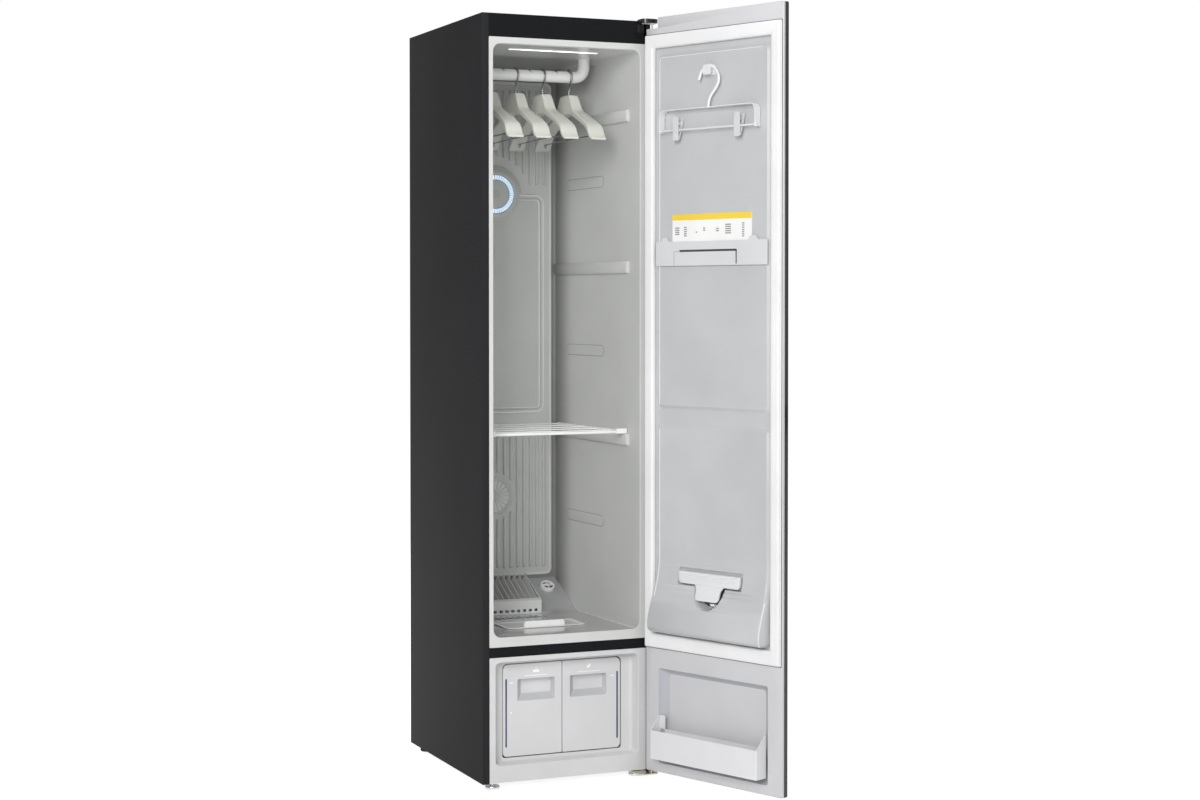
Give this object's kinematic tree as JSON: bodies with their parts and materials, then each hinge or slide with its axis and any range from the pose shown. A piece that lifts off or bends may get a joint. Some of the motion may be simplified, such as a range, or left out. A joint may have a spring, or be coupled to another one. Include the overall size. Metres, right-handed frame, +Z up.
{
  "type": "clothes care steam cabinet",
  "caption": "Tall steam cabinet that freshens clothes, with an open hinged door, hanging hangers, a wire shelf, water tanks and a floor filter.",
  "frame": {"origin": "on the floor, under the middle of the box round the whole object with its door open", "axes": "+Z up, +X to the right of a person facing the door side, the front faces -Y"},
  "size_m": [0.592, 0.9766, 1.8535],
  "materials": {
    "dark_steel": "satin",
    "dark_plastic": "satin",
    "pale_plastic": "satin",
    "grey_plastic": "satin",
    "white_plastic": "gloss",
    "hanger_plastic": "satin",
    "gasket": "matte",
    "light_ring": "frosted",
    "lens": "frosted",
    "chrome_wire": "polished",
    "tank_plastic": "satin",
    "hinge_steel": "brushed",
    "zinc": "brushed",
    "pump_black": "gloss",
    "alloy": "satin",
    "foot_rubber": "matte",
    "hose_rubber": "matte",
    "door_glass": "gloss"
  },
  "bodies": {
    "case": {"left_side_panel": "dark_steel", "right_side_panel": "dark_steel", "top_panel": "dark_steel", "back_panel": "zinc", "rear_panel_screws": "zinc", "base_plate": "zinc", "rear_feet": "foot_rubber", "top_front_cover": "dark_plastic", "middle_rail": "dark_plastic", "cabinet_liner": "pale_plastic", "compartment_floor": "pale_plastic", "rear_duct_cover": "grey_plastic", "steam_outlet_cover": "grey_plastic", "outlet_light_ring": "light_ring", "intake_grille": "grey_plastic", "ceiling_light_lens": "lens", "filter_louvre": "grey_plastic", "bar_guide_rods": "zinc", "bar_drive_motor": "dark_plastic", "lower_front_frame": "pale_plastic", "tank_bay": "grey_plastic", "compressor": "pump_black", "steam_generator": "alloy", "heat_exchanger": "alloy", "blower_housing": "grey_plastic", "steam_hose": "hose_rubber", "power_inlet": "dark_plastic", "hinge_top_bracket": "dark_steel", "hinge_bottom_bracket": "hinge_steel"},
    "foot_left": {"front_foot_left": "zinc"},
    "foot_right": {"front_foot_right": "zinc"},
    "tray": {"filter_tray": "white_plastic"},
    "cap": {"aroma_cap": "white_plastic"},
    "bar": {"hanger_bar": "pale_plastic", "bar_carriage": "zinc"},
    "shelf": {"wire_shelf": "chrome_wire"},
    "drain": {"drain_tank": "tank_plastic", "drain_tank_front": "pale_plastic"},
    "supply": {"supply_tank": "tank_plastic", "supply_tank_front": "pale_plastic"},
    "wheel": {"blower_wheel": "dark_plastic"},
    "door": {"door_outer_panel": "door_glass", "door_inner_frame": "pale_plastic", "door_liner": "pale_plastic", "door_gasket": "gasket", "door_hook": "white_plastic", "pocket_bracket": "white_plastic"},
    "basket": {"door_basket": "pale_plastic"},
    "lever": {"clip_lever": "pale_plastic"},
    "trousers": {"trouser_hanger": "chrome_wire"},
    "clip_left": {"trouser_clip_left": "hanger_plastic"},
    "clip_right": {"trouser_clip_right": "hanger_plastic"},
    "hanger_1_body": {"hanger_1": "hanger_plastic", "hanger_1_wire": "chrome_wire"},
    "hanger_2_body": {"hanger_2": "hanger_plastic", "hanger_2_wire": "chrome_wire"},
    "hanger_3_body": {"hanger_3": "hanger_plastic", "hanger_3_wire": "chrome_wire"},
    "hanger_4_body": {"hanger_4": "hanger_plastic", "hanger_4_wire": "chrome_wire"}
  },
  "joints": [
    {"name": "door_hinge", "type": "hinge", "parent": "case", "child": "door", "pos_m": [0.135, -0.08049, 0.95], "axis": [0, 0, 1], "range_deg": [-111, 9]},
    {"name": "bar_slide", "type": "slide", "parent": "case", "child": "bar", "axis": [1, 0, 0], "range_m": [-0.008, 0.008]},
    {"name": "shelf_slide", "type": "slide", "parent": "case", "child": "shelf", "axis": [0, -1, 0], "range_m": [0, 0.3]},
    {"name": "filter_tray_lift", "type": "slide", "parent": "case", "child": "tray", "axis": [0, 0, 1], "range_m": [0, 0.06]},
    {"name": "aroma_cap_turn", "type": "hinge", "parent": "case", "child": "cap", "pos_m": [0.058, 0.41351, 0.41018], "axis": [0, -0.4879, 0.8729], "range_deg": [0, 90]},
    {"name": "drain_tank_slide", "type": "slide", "parent": "case", "child": "drain", "axis": [0, -1, 0], "range_m": [0, 0.19]},
    {"name": "supply_tank_slide", "type": "slide", "parent": "case", "child": "supply", "axis": [0, -1, 0], "range_m": [0, 0.19]},
    {"name": "blower_spin", "type": "hinge", "parent": "case", "child": "wheel", "pos_m": [-0.057, 0.40351, 0.19], "axis": [0, 1, 0], "continuous": true},
    {"name": "left_foot_turn", "type": "hinge", "parent": "case", "child": "foot_left", "pos_m": [-0.265, -0.03649, 0.02], "axis": [0, 0, 1], "continuous": true},
    {"name": "right_foot_turn", "type": "hinge", "parent": "case", "child": "foot_right", "pos_m": [0.111, -0.03649, 0.02], "axis": [0, 0, 1], "continuous": true},
    {"name": "basket_lift", "type": "slide", "parent": "door", "child": "basket", "axis": [0, 0, 1], "range_m": [0, 0.05]},
    {"name": "clip_lever_press", "type": "hinge", "parent": "door", "child": "lever", "pos_m": [0.19651, -0.28397, 0.4955], "axis": [0.3584, -0.9336, 0], "range_deg": [0, 10], "stiffness_Nm_per_rad": 0.4, "springref_deg": -11.46},
    {"name": "trouser_hanger_swing", "type": "hinge", "parent": "door", "child": "trousers", "pos_m": [0.18484, -0.28845, 1.712], "axis": [-0.9336, -0.3584, 0], "range_deg": [-6, 6]},
    {"name": "left_clip_slide", "type": "slide", "parent": "trousers", "child": "clip_left", "axis": [-0.3584, 0.9336, 0], "range_m": [-0.03, 0.03]},
    {"name": "right_clip_slide", "type": "slide", "parent": "trousers", "child": "clip_right", "axis": [-0.3584, 0.9336, 0], "range_m": [-0.03, 0.03]},
    {"name": "hanger_1_swing", "type": "hinge", "parent": "bar", "child": "hanger_1_body", "pos_m": [-0.192, 0.17851, 1.732], "axis": [1, 0, 0], "range_deg": [-10, 10]},
    {"name": "hanger_2_swing", "type": "hinge", "parent": "bar", "child": "hanger_2_body", "pos_m": [-0.12, 0.17851, 1.732], "axis": [1, 0, 0], "range_deg": [-10, 10]},
    {"name": "hanger_3_swing", "type": "hinge", "parent": "bar", "child": "hanger_3_body", "pos_m": [-0.048, 0.17851, 1.732], "axis": [1, 0, 0], "range_deg": [-10, 10]},
    {"name": "hanger_4_swing", "type": "hinge", "parent": "bar", "child": "hanger_4_body", "pos_m": [0.024, 0.17851, 1.732], "axis": [1, 0, 0], "range_deg": [-10, 10]}
  ]
}
